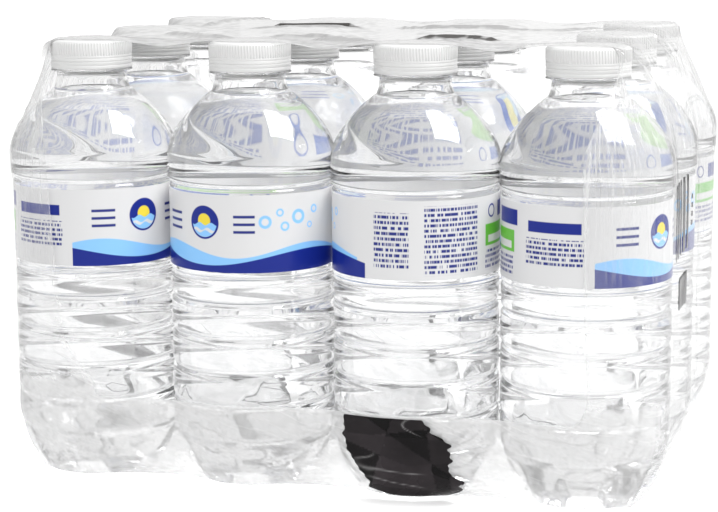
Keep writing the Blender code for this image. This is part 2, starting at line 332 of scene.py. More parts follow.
def buildTurnedForm():
    tree, given, result = newTree(
        "turnedForm", Sides="Int", Turn="Float", Place="Vector", Feet="Int", Sway="Float", Finish="Material"
    )
    profile = given["Geometry"]
    rows = addNode(tree, "GeometryNodeAttributeDomainSize", {0: profile}).outputs["Point Count"]
    across = calc(tree, "ADD", given["Sides"], 1.0)
    grid = addNode(tree, "GeometryNodeMeshGrid", {"Vertices X": across, "Vertices Y": rows})
    index = addNode(tree, "GeometryNodeInputIndex").outputs[0]
    row = calc(tree, "MODULO", index, rows)
    column = calc(tree, "FLOOR", calc(tree, "DIVIDE", index, rows))

    def sampled(source):  # the profile's own value at this row
        inputs = {"Geometry": profile, "Value": source, "Index": row}
        node = addNode(tree, "GeometryNodeSampleIndex", inputs, data_type="FLOAT_VECTOR")
        return partsOf(tree, node.outputs[0])

    radius, _, height = sampled(addNode(tree, "GeometryNodeInputPosition").outputs[0])
    arch = addNode(tree, "GeometryNodeInputNamedAttribute", {"Name": "archShift"}, data_type="FLOAT_VECTOR")
    inward, free, upward = sampled(arch.outputs["Attribute"])
    angle = times(tree, column, calc(tree, "DIVIDE", math.tau, given["Sides"]))
    wave = calc(tree, "COSINE", times(tree, angle, given["Feet"]))
    lift = rampTo(tree, wave, *bottle["archEdge"])
    radius = calc(tree, "MULTIPLY_ADD", inward, lift, radius)
    height = calc(tree, "MULTIPLY_ADD", upward, lift, height)
    turned = calc(tree, "ADD", angle, given["Turn"])
    facing = [calc(tree, kind, turned) for kind in ("COSINE", "SINE")]
    onBody = [times(tree, value, bottle["bodyRadius"] * mm) for value in facing]
    onBody = vectorOf(tree, *onBody, times(tree, height, bottle["swayTall"]))
    inputs = {0: given["Place"], 1: bottle["swayApart"], 2: onBody}
    ownSpot = addNode(tree, "ShaderNodeVectorMath", inputs, operation="MULTIPLY_ADD").outputs[0]
    uneven = noiseOf(tree, ownSpot, *bottle["swayNoise"])
    radius = calc(tree, "SUBTRACT", radius, times(tree, uneven, given["Sway"], free))
    spot = vectorOf(tree, *(times(tree, radius, value) for value in facing), height)
    placed = addNode(tree, "ShaderNodeVectorMath", {0: spot, 1: given["Place"]}, operation="ADD")
    move = addNode(tree, "GeometryNodeSetPosition", {"Position": placed.outputs[0]})
    inputs = {"Name": "UVMap", "Value": grid.outputs["UV Map"]}
    layout = addNode(tree, "GeometryNodeStoreNamedAttribute", inputs, data_type="FLOAT2", domain="CORNER")
    merge = addNode(tree, "GeometryNodeMergeByDistance", {"Distance": bottle["mergeWithin"] * mm})
    smooth = addNode(tree, "GeometryNodeSetShadeSmooth")
    geometry = chain(tree, grid.outputs["Mesh"], layout, move, merge, smooth)
    return finishTree(tree, given, result, geometry)


def buildRibRing():
    tree, given, result = newTree(
        "ribRing", Rib="Object", Count="Int", Radius="Float", Place="Vector", Finish="Material"
    )
    inputs = {"Vertices": given["Count"], "Radius": given["Radius"]}
    ring = addNode(tree, "GeometryNodeMeshCircle", inputs).outputs["Mesh"]
    rib = addNode(tree, "GeometryNodeObjectInfo", {"Object": given["Rib"]}).outputs["Geometry"]
    index = addNode(tree, "GeometryNodeInputIndex").outputs[0]
    spin = vectorOf(tree, 0.0, 0.0, times(tree, index, calc(tree, "DIVIDE", math.tau, given["Count"])))
    spread = addNode(tree, "GeometryNodeInstanceOnPoints", {"Instance": rib, "Rotation": spin})
    move = addNode(tree, "GeometryNodeTransform", {"Translation": given["Place"]})
    join = addNode(tree, "GeometryNodeJoinGeometry")
    for geometry in (chain(tree, ring, spread, move), given["Geometry"]):
        tree.links.new(geometry, join.inputs[0])
    return finishTree(tree, given, result, join.outputs[0])


def grow(name, base, tree, inputs):  # the tree's result on a base mesh, as a plain mesh
    thing = place(name, base)
    modifier = thing.modifiers.new("form", "NODES")
    modifier.node_group = tree
    sockets = {item.name: item.identifier for item in tree.interface.items_tree if item.in_out == "INPUT"}
    for title, value in inputs.items():
        modifier[sockets[title]] = value
    depsgraph = bpy.context.evaluated_depsgraph_get()
    made = bpy.data.meshes.new_from_object(thing.evaluated_get(depsgraph), depsgraph=depsgraph)
    made.name = name
    bpy.data.objects.remove(thing)
    return made


def profileMesh(points, arches=None, swayShare=lambda height: 0.0):  # (radius, height) in millimetres
    mesh = bpy.data.meshes.new("profile")
    mesh.from_pydata([(radius * mm, 0, height * mm) for radius, height in points], [], [])
    shift = mesh.attributes.new("archShift", "FLOAT_VECTOR", "POINT")
    for (radius, height), (archRadius, archHeight), item in zip(points, arches or points, shift.data):
        item.vector = ((archRadius - radius) * mm, swayShare(height), (archHeight - height) * mm)
    return mesh


# Bottle: blown plastic with five feet, five grooves, a label panel, a bead and a dome

bottle = {
    "sides": 96,
    "feet": 5,
    # radius and height of the foot's section on a foot, then in the arch between two
    "foot": [
        (0.0, 6.2, 0.0, 6.2),
        (6.0, 6.0, 6.0, 6.1),
        (12.0, 4.9, 12.0, 5.7),
        (16.5, 2.4, 16.5, 5.0),
        (19.0, 0.6, 19.0, 4.6),
        (21.2, 0.0, 21.2, 4.6),
        (23.2, 0.2, 22.9, 5.1),
        (24.9, 1.8, 24.3, 6.1),
        (26.3, 4.3, 25.6, 7.7),
        (28.0, 7.2, 26.9, 9.9),
        (29.4, 10.2, 28.3, 12.4),
        (30.8, 14.0, 30.2, 15.4),
        (31.6, 17.6, 31.6, 17.6),
    ],
    "footSteps": 3,
    "archEdge": (-0.35, 0.55),  # of a wave round the foot, from a foot to the full arch
    "bodyRadius": 32.9,
    "bodyFull": 26.0,
    "grooves": [19.8, 33.6, 47.4, 61.2, 75.0],
    "grooveDepth": 0.95,
    "grooveHalf": 1.7,
    "bulge": 0.35,
    "panelRadius": 33.0,
    "panelBlend": 4,
    "lines": [(85.6, 0.55, 1.0), (120.9, 0.75, 1.5)],  # height, depth and half width of the thin lines
    "beadRadius": 33.8,
    "beadBottom": 122.0,
    "beadHalf": 1.2,
    "domeStart": 131.0,
    "domeHeight": 26.0,
    "domeNeck": 15.2,
    "domePower": 1.83,
    "domeSteps": 22,
    "neck": [
        (14.6, 159.0),
        (14.3, 160.6),
        (14.2, 163.4),
        (16.2, 163.8),
        (16.45, 164.05),
        (16.2, 164.3),
        (14.0, 164.5),
    ],
    "neckSteps": 2,
    "mouth": [(13.0, 165.6), (12.8, 174.0), (12.4, 174.2), (11.2, 174.2), (10.9, 173.8)],
    "boreFoot": 168.0,
    "boreSkips": 14,  # points below the mouth that the inside doesn't follow
    "wall": 0.4,
    "neckWall": 1.3,
    "wallGrows": (150.0, 160.0),
    "fineStep": 0.34,
    "coarseStep": 1.4,
    "fineReach": 1.25,  # how far fine steps go, in half widths
    "mergeWithin": 0.001,
    # how uneven the blown wall is
    "sway": 0.26,
    "swayShares": [0.3, 0.45, 1.6, 0.45] + 8 * [1.0],  # of each bottle
    "swayNoise": (42.0, 1.0),
    "swayTall": 0.6,
    "swayApart": (7.0, 7.0, 0.0),  # moves the noise on from bottle to bottle
    "swayZones": [(22.0, 84.0), (124.0, 150.0)],
    "swayBlend": 6,
    "seam": -79,  # where each bottle's seam is, give or take the range below
    "seamSwing": (-12, 12),
    "seed": 11,
    "sharpAngle": 50,  # of caps and labels
}


def cuts():  # height, depth and half width of each groove and thin line
    depth, half = bottle["grooveDepth"], bottle["grooveHalf"]
    return [(groove, depth, half) for groove in bottle["grooves"]] + bottle["lines"]


def bodyRadius(height):
    grooves = bottle["grooves"]
    radius = bottle["bodyRadius"]
    if height < bottle["bodyFull"]:
        start = bottle["foot"][-1]
        share = (height - start[1]) / (bottle["bodyFull"] - start[1])
        radius = start[0] + (radius - start[0]) * math.sin(share * math.pi / 2)
    for lower, upper in zip(grooves, grooves[1:]):
        if lower < height < upper:
            middle = (lower + upper) / 2
            radius += bottle["bulge"] * (1 - ((height - middle) / (upper - middle)) ** 2)
    panel = smoothStep((height - grooves[-1]) / bottle["panelBlend"])
    radius += (bottle["panelRadius"] - bottle["bodyRadius"]) * panel
    blend = bottle["beadHalf"]
    bead = smoothStep((height - bottle["beadBottom"] + blend) / (2 * blend))
    radius += (bottle["beadRadius"] - bottle["panelRadius"]) * bead
    for middle, depth, half in cuts():
        radius -= depth * (1 - smoothStep(abs(height - middle) / half))
    return radius


def swayShare(height):  # the body and dome are uneven, the foot, label panel and neck true
    share, blend = 0.0, bottle["swayBlend"]
    for low, high in bottle["swayZones"]:
        share = max(share, smoothStep((height - low) / blend) * smoothStep((high - height) / blend))
    return share


def isFine(height):
    narrow = cuts() + [(bottle["beadBottom"], 0.0, bottle["beadHalf"])]
    return any(abs(height - middle) < half * bottle["fineReach"] for middle, _, half in narrow)


def throughPoints(points, steps):  # a smooth curve through points of any number of values
    curve = []
    for index in range(len(points) - 1):
        before = points[max(index - 1, 0)]
        start, end = points[index], points[index + 1]
        after = points[min(index + 2, len(points) - 1)]
        for step in range(steps):
            t = step / steps
            curve.append(tuple(
                b + 0.5 * t * (c - a + t * (2 * a - 5 * b + 4 * c - d + t * (3 * (b - c) + d - a)))
                for a, b, c, d in zip(before, start, end, after)
            ))
    return curve + [points[-1]]


def outerSection():  # the outside from the middle of the base to the mouth, on a foot and in an arch
    foot = throughPoints(bottle["foot"], bottle["footSteps"])
    onFoot = [(max(a, 0.0), max(b, 0.0)) for a, b, _, _ in foot]
    inArch = [(max(c, 0.0), d) for _, _, c, d in foot]
    above = []
    height = onFoot[-1][1]
    while height < bottle["domeStart"]:
        height += bottle["fineStep"] if isFine(height) else bottle["coarseStep"]
        above.append((bodyRadius(height), height))
    start = above[-1][1]
    domeTop = bottle["domeStart"] + bottle["domeHeight"]
    for step in range(1, bottle["domeSteps"] + 1):
        height = start + (domeTop - start) * step / bottle["domeSteps"]
        share = (height - bottle["domeStart"]) / bottle["domeHeight"]
        rise = bottle["beadRadius"] - bottle["domeNeck"]
        above.append((bottle["domeNeck"] + rise * (1 - share ** bottle["domePower"]), height))
    above += throughPoints(bottle["neck"], bottle["neckSteps"]) + bottle["mouth"]
    return onFoot + above, inArch + above


def inset(points, depthAt):  # moves a section inwards, square to itself
    moved = []
    for index, (radius, height) in enumerate(points):
        before = points[max(index - 1, 0)]
        after = points[min(index + 1, len(points) - 1)]
        alongRadius, alongHeight = after[0] - before[0], after[1] - before[1]
        length = math.hypot(alongRadius, alongHeight)
        depth = depthAt(height)
        inner = max(radius - depth * alongHeight / length, 0.01)
        moved.append((inner, height + depth * alongRadius / length) if index else (0.0, height + depth))
    return moved


def wallAt(height):
    low, high = bottle["wallGrows"]
    grown = smoothStep((height - low) / (high - low))
    return bottle["wall"] + (bottle["neckWall"] - bottle["wall"]) * grown


def bottleSection():
    section = []
    for outer in outerSection():
        inner = inset(outer, wallAt)[:-bottle["boreSkips"]]
        section.append(outer + [(bottle["mouth"][-1][0], bottle["boreFoot"])] + inner[::-1])
    return section


water = {
    "depth": 0.25,  # how far behind the bottle's outside it starts, which is just inside the wall
    "line": 156.0,
    "creep": 0.9,  # how far it climbs at the wall
    "meniscus": [(0.0, 1.0), (0.5, 0.45), (1.3, 0.14), (2.6, 0.0)],  # way in and share of the climb
    "bodyStart": 60,  # the section's first point that is surely above the foot
}


def waterSection():
    section = []
    level, creep = water["line"], water["creep"]
    for outer in outerSection():
        inner = inset(outer, lambda height: water["depth"])
        radii, heights = zip(*inner[water["bodyStart"]:])
        rim = np.interp(level + creep, heights, radii)
        below = [point for point in inner if point[1] < level]
        top = [(rim - inside, level + creep * climb) for inside, climb in water["meniscus"]]
        section.append(below + top + [(0.0, level)])
    return section


clear = {
    "plastic": (0.984, 0.984, 0.984, 1),
    "plasticBend": 1.43,
    "water": (0.957, 0.958, 0.960, 1),
    "waterBend": 1.333,
}


def clearMaterial(name, tint, bend):
    finish = {"Base Color": tint, "Transmission Weight": 1.0, "IOR": bend, "Roughness": 0.0}
    material, tree, shader = newMaterial(name, finish)
    passLight(tree, shader.outputs[0], tint)
    return material


# Cap: frosted white plastic with a knurled grip over a plain band

cap = {
    "sides": 120,
    "ribs": 88,
    "ribRadius": 16.24,
    "ribHalf": 0.34,
    "ribProud": 0.22,
    "ribHeights": (170.3, 175.4),
    "ribOutline": [(-1, -1), (0.3, -1), (1, -0.45), (1, 0.45), (0.3, 1), (-1, 1)],  # shares of proud and half
    # radius and height, from the middle of the underside outwards, up and over
    "section": [
        (0.0, 174.7), (15.0, 174.7), (15.1, 174.5), (15.1, 165.0), (15.3, 164.75), (16.1, 164.75),
        (16.32, 164.95), (16.35, 166.2), (16.25, 166.35), (16.35, 166.5), (16.35, 167.6),
        (16.05, 167.75), (16.05, 168.05),
        (16.38, 168.2), (16.38, 169.1), (16.28, 169.25), (16.38, 169.4), (16.4, 170.0), (16.26, 170.3),
        (16.26, 174.5), (16.1, 175.2), (15.65, 175.8), (15.0, 176.12), (14.4, 176.2),
        (14.0, 176.1), (0.0, 176.0),
    ],
    "tones": ((0.575, 0.575, 0.572, 1), (0.615, 0.615, 0.612, 1)),
    "cloud": (60.0, 3.0),
    "grain": (900.0, 2.0),
    "grainBump": (0.12, 0.0004),  # strength, and distance in metres, as in each bump below
    "finish": {"Roughness": 0.34},
    "passes": 0.85,  # share of the light
}


def ribMesh():
    builder = bmesh.new()
    low, high = (height * mm for height in cap["ribHeights"])
    half, proud = cap["ribHalf"] * mm, cap["ribProud"] * mm
    outline = [(x * proud, y * half) for x, y in cap["ribOutline"]]
    rings = []
    for height, pull in ((low, 0.0), (low + proud, 1.0), (high - proud, 1.0), (high, 0.0)):
        rings.append([builder.verts.new((x if x < 0 else x * pull, y, height)) for x, y in outline])
    for lower, upper in zip(rings, rings[1:]):
        for side in range(len(outline)):
            following = (side + 1) % len(outline)
            builder.faces.new((lower[side], lower[following], upper[following], upper[side]))
    builder.faces.new(rings[0][::-1])
    builder.faces.new(rings[-1])
    bmesh.ops.recalc_face_normals(builder, faces=builder.faces)
    mesh = bpy.data.meshes.new("rib")
    builder.to_mesh(mesh)
    builder.free()
    mesh.shade_smooth()
    return mesh


def capMaterial():
    material, tree, shader = newMaterial("capPlastic", cap["finish"])
    where = ownPlace(tree)
    cloud = noiseOf(tree, where, *cap["cloud"])
    feed(tree, shader.inputs["Base Color"], blendColour(tree, cloud, *cap["tones"]))
    grain = noiseOf(tree, where, *cap["grain"])
    feed(tree, shader.inputs["Normal"], bumpFrom(tree, grain, *cap["grainBump"]))
    passLight(tree, shader.outputs[0], grey(cap["passes"]))
    return material


# Label: thin printed sleeve round the panel, a generic print of waves, bubbles and blocks

label = {
    "inner": 33.05,
    "outer": 33.18,
    "bottom": 88.2,
    "top": 118.8,
    "rows": 4,
    "round": 208.0,  # its length round the bottle
    # where the emblem faces on each bottle, anticlockwise from +X
    "emblemTurns": [-32, -106, 134, -23, -48, -66, -60, -74, 40, 100, 150, 120],
    "finish": {"Roughness": 0.30, "Specular IOR Level": 0.18},
    "passes": 0.90,
    "lining": (0.50, 0.60),  # where the inner side begins, as a share of the section
    "liningPaleAndLit": 0.25,  # gamma of the print as it shows there: paler as seen from behind, and lighter as painted light for what passes through the label
    # what is printed, in millimetres along it and up
    "soft": 0.22,  # half the blur at an edge
    "inks": {
        "navy": (0.020, 0.030, 0.18, 1),
        "royal": (0.007, 0.018, 0.20, 1),
        "sky": (0.22, 0.47, 0.78, 1),
        "green": (0.12, 0.42, 0.05, 1),
        "yellow": (0.70, 0.56, 0.05, 1),
        "white": (0.585, 0.585, 0.59, 1),
    },
    # level, swing, length and start of each wave, its left and right ends, and its ink
    "waves": [(8.4, 2.6, 62.0, 0.4, 0.0, 92.0, "sky"), (5.6, 2.9, 88.0, 2.5, -1.0, 96.0, "royal")],
    "rings": [  # middle, radius, radius of the hole and ink
        (55.0, 20.0, 2.6, 1.43, "sky"),
        (61.0, 23.5, 1.6, 0.88, "sky"),
        (63.0, 18.0, 1.9, 1.045, "sky"),
        (69.0, 21.5, 2.9, 1.595, "sky"),
        (74.5, 17.8, 1.3, 0.715, "sky"),
        (77.0, 23.8, 1.7, 0.935, "sky"),
        (152.5, 24.6, 2.7, 2.0, "royal"),
    ],
    "emblem": (30.0, 19.5),
    "emblemRadii": (6.6, 5.7),
    "sun": (0.6, 2.9),  # height over the emblem's middle, and radius
    "sea": [(0.6, "sky"), (2.6, "white"), (3.6, "sky")],  # drop under the middle, and ink
    "seaWave": (0.55, 5.4),
    # rows of marks: left, right, low, top, pitch and seed
    "marks": [
        (100, 114, 4.5, 26.0, 2.1, 1.0),
        (120, 143, 1.8, 28.6, 2.0, 5.0),
        (148, 172, 1.8, 9.6, 2.0, 9.0),
        (180, 204, 8.0, 18.0, 1.9, 14.0),
    ],
    "stroke": (0.28, 0.86),  # foot and head of a mark, as shares of the pitch
    "grid": (1.7, 7.3),  # how fast the marks' noise runs along a row, and from row to row
    "gap": (0.42, 0.50),  # noise at a gap's edge and at a mark's
    # left, right, low, top and ink
    "blocks": [
        *(
            (left, right, low, low + 1.1, "navy")
            for left, right in ((8.0, 17.5), (42.5, 51.0))
            for low in (15.6, 18.6, 21.6)
        ),
        (148, 173, 11.2, 19.6, "green"),
        (150, 171, 12.4, 15.2, "white"),
        (159, 175, 21.6, 27.6, "royal"),
        (181, 203, 20.2, 24.4, "royal"),
    ],
}


def labelSection():
    low, tall, rows = label["bottom"], label["top"] - label["bottom"], label["rows"]
    heights = [low + tall * row / rows for row in range(rows + 1)]
    outside = [(label["outer"], height) for height in heights]
    inside = [(label["inner"], height) for height in heights[::-1]]
    return inside[-1:] + outside + inside


def labelMaterial():
    material, tree, shader = newMaterial("labelPrint", label["finish"])
    layout = addNode(tree, "ShaderNodeTexCoord")
    around, within, _ = partsOf(tree, layout.outputs["UV"])
    up = calc(tree, "DIVIDE", partsOf(tree, layout.outputs["Object"])[2], mm)
    across = times(tree, around, label["round"])  # millimetres along the print
    high = calc(tree, "SUBTRACT", up, pack["footLevel"] / mm + label["bottom"])  # and up it
    soft = label["soft"]

    def between(value, low, top):
        foot = rampTo(tree, value, low - soft, low + soft)
        return times(tree, foot, rampTo(tree, value, top - soft, top + soft, 1.0, 0.0))

    def box(left, right, low, top):
        return times(tree, between(across, left, right), between(high, low, top))

    def disc(x, z, radius, hole=0.0):
        offsets = (calc(tree, "SUBTRACT", across, x), calc(tree, "SUBTRACT", high, z))
        squares = [calc(tree, "POWER", calc(tree, "ABSOLUTE", offset), 2.0) for offset in offsets]
        apart = calc(tree, "SQRT", calc(tree, "ADD", *squares))
        filled = rampTo(tree, apart, radius - soft, radius + soft, 1.0, 0.0)
        return times(tree, filled, rampTo(tree, apart, hole - soft, hole + soft)) if hole else filled

    def belowWave(level, swing, length, start):
        turn = calc(tree, "MULTIPLY_ADD", across, math.tau / length, start)
        edge = calc(tree, "MULTIPLY_ADD", calc(tree, "SINE", turn), swing, level)
        return rampTo(tree, calc(tree, "SUBTRACT", edge, high), -soft, soft)

    def marks(left, right, low, top, pitch, seed):  # short dashes in rows
        row = calc(tree, "FLOOR", calc(tree, "DIVIDE", high, pitch))
        inRow = calc(tree, "FLOORED_MODULO", high, pitch)
        stroke = between(inRow, *(share * pitch for share in label["stroke"]))
        along, down = label["grid"]
        cell = vectorOf(tree, times(tree, across, along), calc(tree, "MULTIPLY_ADD", row, down, seed))
        dash = rampTo(tree, noiseOf(tree, cell, 1.0, 1.0), *label["gap"])
        return times(tree, stroke, dash, box(left, right, low, top))

    layers = []  # first what lies under the rest
    for *wave, left, right, ink in label["waves"]:
        layers.append((times(tree, belowWave(*wave), between(across, left, right)), ink))
    layers += [(disc(*ring), ink) for *ring, ink in label["rings"]]
    (x, z), (badge, rim) = label["emblem"], label["emblemRadii"]
    inner = disc(x, z, rim)
    layers.append((disc(x, z, badge), "royal"))
    layers.append((times(tree, inner, disc(x, z + label["sun"][0], label["sun"][1])), "yellow"))
    for drop, ink in label["sea"]:
        layers.append((times(tree, inner, belowWave(z - drop, *label["seaWave"], drop)), ink))
    layers += [(marks(*rows), "navy") for rows in label["marks"]]
    layers += [(box(*block), ink) for *block, ink in label["blocks"]]
    paint = label["inks"]["white"]
    for mask, ink in layers:
        paint = blendColour(tree, mask, paint, label["inks"][ink])
    # the inner side: the print as it shows from behind, lightened as painted light for the light that passes
    # through the label
    inside = rampTo(tree, within, *label["lining"])
    pale = addNode(tree, "ShaderNodeGamma", {"Color": paint, "Gamma": label["liningPaleAndLit"]}).outputs[0]
    feed(tree, shader.inputs["Base Color"], blendColour(tree, inside, paint, pale))
    passLight(tree, shader.outputs[0], grey(label["passes"]))
    return material


def makeBottles():
    form, ribs = buildTurnedForm(), buildRibRing()
    plastic = clearMaterial("clearPlastic", clear["plastic"], clear["plasticBend"])
    drink = clearMaterial("springWater", clear["water"], clear["waterBend"])
    frosted, printed = capMaterial(), labelMaterial()
    shell = profileMesh(*bottleSection(), swayShare)
    fill = profileMesh(*waterSection(), swayShare)
    lid, wrap = profileMesh(cap["section"]), profileMesh(labelSection())
    rib = bpy.data.objects.new("rib", ribMesh())
    sharp = math.radians(bottle["sharpAngle"])
    draw = random.Random(bottle["seed"])
    for position in range(pack["columns"] * pack["rows"]):
        number = f"{position + 1:02d}"
        spot = bottleSpot(number)
        turn = math.radians(draw.uniform(*bottle["seamSwing"]) + bottle["seam"])
        shared = {
            "Turn": turn, "Place": spot, "Feet": bottle["feet"], "Sides": bottle["sides"],
            "Sway": bottle["swayShares"][position] * bottle["sway"] * mm,
        }
        mesh = grow(f"bottle{number}", shell, form, {**shared, "Finish": plastic})
        settle(f"bottle{number}", mesh, "clear_pet", f"bottle_{number}")
        mesh = grow(f"water{number}", fill, form, {**shared, "Finish": drink})
        settle(f"water{number}", mesh, "spring_water", f"water_{number}")
        body = grow(f"capBody{number}", lid, form, {**shared, "Sides": cap["sides"], "Finish": frosted})
        body.set_sharp_from_angle(angle=sharp)
        mesh = grow(f"cap{number}", body, ribs, {
            "Rib": rib, "Count": cap["ribs"], "Radius": cap["ribRadius"] * mm, "Place": spot,
            "Finish": frosted,
        })
        settle(f"cap{number}", mesh, "cap_plastic", f"cap_{number}")
        seam = label["emblemTurns"][position] - label["emblem"][0] / label["round"] * 360
        mesh = grow(f"label{number}", wrap, form, {**shared, "Turn": math.radians(seam), "Finish": printed})
        mesh.set_sharp_from_angle(angle=sharp)
        settle(f"label{number}", mesh, "label_print", f"label_{number}")
    bpy.data.objects.remove(rib)
    print("bottles: twelve, each with its water, cap and label")


# Film: a shrunk sleeve, open at the front and back, taut over caps and shoulders

toCorner = 1 / math.cos(math.pi / 12)  # from the reach of a twelve-sided solid's flats to its corners

sleeve = {
    "pitch": 68.0,
    "flat": 9.1,  # half width of the film's flat before a bottle
    "sag": 3.5,
    "overCaps": 0.3,
    "capClear": 17.5,
    # front rim across and up on each side, and the ends of the flap's edge
    "leftRim": [(-91.0, 44.0), (-97.0, 50.0), (-103.0, 58.0), (-105.0, 80.0), (-109.0, 138.5)],
    "rightRim": [(109.0, 45.0), (108.5, 52.0), (108.0, 60.0), (107.0, 85.0), (106.0, 138.5)],
    "flapEnds": (-90.0, -82.0, 105.5),
    # round the front left bottle, from the rim backwards: direction, reach and height
    "corner": [
        [(255, 34.0 * toCorner, height) for height in (18.0, 29.0, 39.0, 52.0, 138.5)],
        [
            (240, 28.2 * 1.07, 4.5),
            (225, 33.0 * toCorner, 14.0),
            *((225, 34.0 * toCorner, height) for height in (26.0, 34.0, 138.5)),
        ],
        [
            (205, 24.5 * 1.075, 0.3),
            (205, 28.2 * 1.07, 4.5),
            (195, 33.0 * toCorner, 14.0),
            *((195, 34.0 * toCorner, height) for height in (26.0, 138.5)),
        ],
    ],
    # reach and height up the straight side, then each such row's depth and how far it is pulled in
    "side": [(24.5, 0.3), (28.2, 4.5), (33.0, 14.0), (34.0, 26.0), (34.0, 138.5)],
    "sideRows": [(-58.9, 0.0), (-34.0, 4.0), (-9.1, 0.0)],
    # rows of the underside, from the flap's edge to the middle: depth and height, and what each gains
    # midway between two bottles
    "underRows": [
        (-102.0, 36.0, 4.0, 0.0),
        (-101.0, 14.0, 4.0, 0.0),
        (-96.2, 4.5, 4.0, 2.6),
        (-92.5, 0.3, 10.0, 0.0),
        (-58.9, 0.3, 0.0, 0.0),
        (-34.0, 0.3, 0.0, 0.0),
        (-9.1, 0.3, 0.0, 0.0),
    ],
    # rows of the top: depth and sag
    "overRows": [
        (-78.0, 0.0), (-74.0, 0.0), (-68.0, 0.0), (-59.0, 0.0), (-50.5, 0.0), (-34.0, 3.5), (-17.5, 0.0),
    ],
    "round": 400,
    "deep": 116,
    "rimRounds": 8,  # rounds of smoothing of the rims, then of the whole
    "rounds": 150,
    "pull": 0.6,
    "onFloor": 0.35,  # what starts lower than this lies on the floor, at the next height
    "floorGap": 0.3,
    "lowest": 0.2,
    "clearance": 0.16,
    "neckFree": 163.8,  # the cap and not the neck holds the film off from here up
    "capGuard": [(16.6, 164.6), (16.6, 176.2)],
    "capEdge": 6,  # how far below a cap's top the film may be lifted over it
    "thickness": 0.12,
    # folds on the loose top: both ends across and deep, half width, darkness of the painted shadow on its
    # near side, height
    "topFolds": [
        (-96, 22, -70, 92, 3.0, 0.55, 1.6),
        (-60, 31, -16, 35, 4.0, 0.96, 3.0),
        (-66, 18, -10, 22, 5.0, 0.55, 1.6),
        (24, -31, 60, -27, 3.6, 0.92, 2.6),
        (-88, -26, -50, -36, 4.0, 0.50, 2.4),
        (-16, -44, 14, -54, 3.0, 0.55, 1.8),
        (38, -47, 56, -40, 2.6, 0.50, 1.6),
        (-4, 36, 62, 30, 3.4, 0.60, 2.4),
        (58, 24, 92, 40, 3.0, 0.50, 1.8),
        (-40, -28, 8, -36, 3.0, 0.52, 2.0),
    ],
    "foldBend": (2.5, 7.0),  # swing of a fold's line, and how fast it swings
    "foldShade": 0.15,
    # wrinkles: where a zone begins, and how far on it is full, towards less where that is negative
    "zones": {
        "pastCap": (15.0, 10.0),
        "overLabel": (86.0, 60.0),
        "underDome": (120.0, -50.0),
        "offFloor": (3.0, 10.0),
        "front": (-60.0, -30.0),
        "flapTall": (48.0, -10.0),
        "top": (168.0, 5.0),
        "behind": (-60.0, 30.0),
        "rightEnd": (66.0, 20.0),
        "shoulder": (128.0, 36.0),
    },
    "seed": 21.0,
    "rowSeed": 3.1,
    "fineSeed": 1.7,
    # crests round each cap: how fast their noise runs round it and up, and their width
    "wide": (3.4, 0.010, 0.16),
    "fine": (8.5, 0.016, 0.20),
    # crests elsewhere: shares of x, y and z and the start, three times, and their width
    "cross": (((0.05, 0.0, 0.03, 0.0), (0.0, 0.05, 0.0, 0.0), (-0.02, 0.0, 0.02, 40.0)), 0.10),
    "gather": (((0.16, 0.0, 0.0, 0.0), (0.0, 0.10, 0.0, 0.0), (0.0, 0.0, 0.16, 9.0)), 0.35),
    "slack": 0.045,
    "heights": {"wide": 0.5, "fine": 0.25, "cross": 0.10, "slack": 0.25, "gather": 0.3},
    "wrinkle": 0.6,  # by which all those heights are multiplied
    "flapCalm": 0.8,
    "rimReach": 7.0,
    "haze": {
        "all": 0.025,
        "flap": 0.44,
        "rim": 0.12,
        "gather": 0.14,
        "wide": 0.09,
        "cross": 0.03,
        "side": 0.05,
        "shoulder": 0.13,
        "top": 0.42,
        "topBehind": 0.36,
    },
    "rightClear": (0.55, 0.6),  # share of the haze that the right end lacks, on top and at the shoulder
    "hazeMost": 0.9,
    "shade": (0.36, 0.18),  # painted shade, on top and on the flap
    # white streaks along the wrinkles: painted highlights standing for the lamp's reflection on their crests
    "streakHighlights": {"wide": 0.45, "low": 0.22, "top": 0.10, "rim": 0.2},
    "flapStreaks": 0.3,
    "flowChange": 78.0,  # height where the painted streak highlights turn from across to down from the caps
    "capFlow": (13.0, 0.03),
    "topFlow": ((0.05, 0.0, 0.0, 0.0), (0.0, 0.16, 0.0, 0.0), (0.03, 0.0, 0.0, 0.0)),
    "sideFlow": ((0.05, 0.0, 0.0, 0.0), (0.0, 0.05, 0.0, 0.0), (0.06, 0.0, 0.20, 0.0)),
    # looks, with greys in linear light
    "clear": 0.985,
    "edgeOn": 0.76,
    "gloss": 0.07,
    "innerShine": 0.03,
    "shine": (0.5, 0.04),  # what the steep edge adds, and the least
    "steep": 5.0,
    "dense": 3.0,
    "ripple": (120.0, 1.0),
    "rippleStretch": (1.6, 1.6, 0.35),
    "rippleBump": (0.16, 0.0012),
    "cloud": 0.71,
    # colour of the painted shade and fold shadows on the film
    "paintedShadeColour": (0.02, 0.017, 0.015, 1),
    "shadeFills": (0.38, 0.6, 0.0, 0.92),  # painted shade from and to, and how far the film is filled there
    "streakNoise": (1.0, 2.0),
    "streakWidth": 0.06,
    "streakFills": 0.6,
    "patchy": (0.3, 0.7, 0.8, 1.2),
    "passes": 0.95,
}

leftAxis = -(pack["columns"] - 1) / 2 * sleeve["pitch"]
frontAxis = -(pack["rows"] - 1) / 2 * sleeve["pitch"]


def valleyShare(x):  # 0 before a bottle, 1 midway between two
    half = sleeve["pitch"] / 2
    fromAxis = abs((x - leftAxis + half) % sleeve["pitch"] - half)
    if abs(x) > -leftAxis or fromAxis <= sleeve["flat"]:
        return 0.0
    return (fromAxis - sleeve["flat"]) / (half - sleeve["flat"])


def scalloped(half):  # places across: both sides of each bottle, and midway to the next
    places = []
    for column in range(pack["columns"]):
        axis = leftAxis + column * sleeve["pitch"]
        places += [axis - half, axis + half, axis + sleeve["pitch"] / 2]
    return places[:-1]


